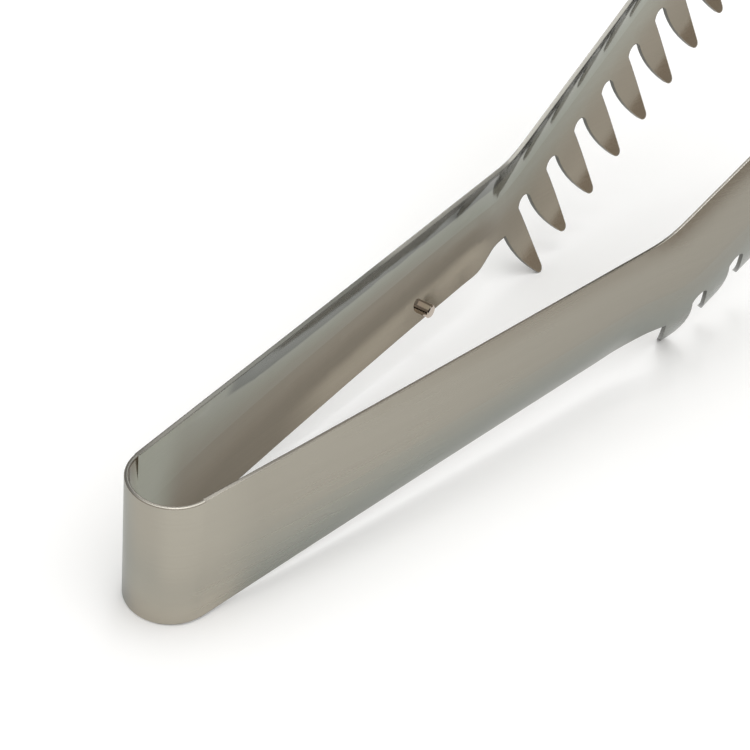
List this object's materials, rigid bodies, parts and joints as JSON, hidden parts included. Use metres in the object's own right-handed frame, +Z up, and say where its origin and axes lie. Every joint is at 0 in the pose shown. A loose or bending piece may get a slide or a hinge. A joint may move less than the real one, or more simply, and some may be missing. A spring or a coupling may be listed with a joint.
{
  "type": "serving tongs",
  "caption": "One-piece sprung steel tongs lying on edge: a bent spring bow, two guttered arms and cranked jaws with hooked teeth along the lower edge, squeezed shut to grip pasta or salad.",
  "frame": {"origin": "middle of the bounding box in plan, on the surface the tongs lie on", "axes": "+X from the spring bow to the jaws, +Y towards the arm with the stop pin, +Z up from the surface, across the strip"},
  "size_m": [0.227, 0.0628, 0.0758],
  "materials": {
    "satin_steel": "satin brushed along the strip",
    "polished_steel": "polished"
  },
  "bodies": {
    "bow": {"spring_bow": "satin_steel"},
    "far_side": {"far_arm": "satin_steel", "stop_pin": "polished_steel"},
    "near_side": {"near_arm": "satin_steel"}
  },
  "joints": [
    {"name": "far_squeeze", "type": "hinge", "parent": "bow", "child": "far_side", "pos_m": [-0.10978, 0.00463, 0.01346], "axis": [0.0649, 0, -0.9979], "range_deg": [0, 6.3], "stiffness_Nm_per_rad": 20},
    {"name": "near_squeeze", "type": "hinge", "parent": "bow", "child": "near_side", "pos_m": [-0.10978, -0.00463, 0.01346], "axis": [-0.0649, 0, 0.9979], "range_deg": [0, 6.3], "stiffness_Nm_per_rad": 20}
  ],
  "couplings": [
    {"joint": "near_squeeze", "follows": "far_squeeze", "ratio": 1}
  ]
}
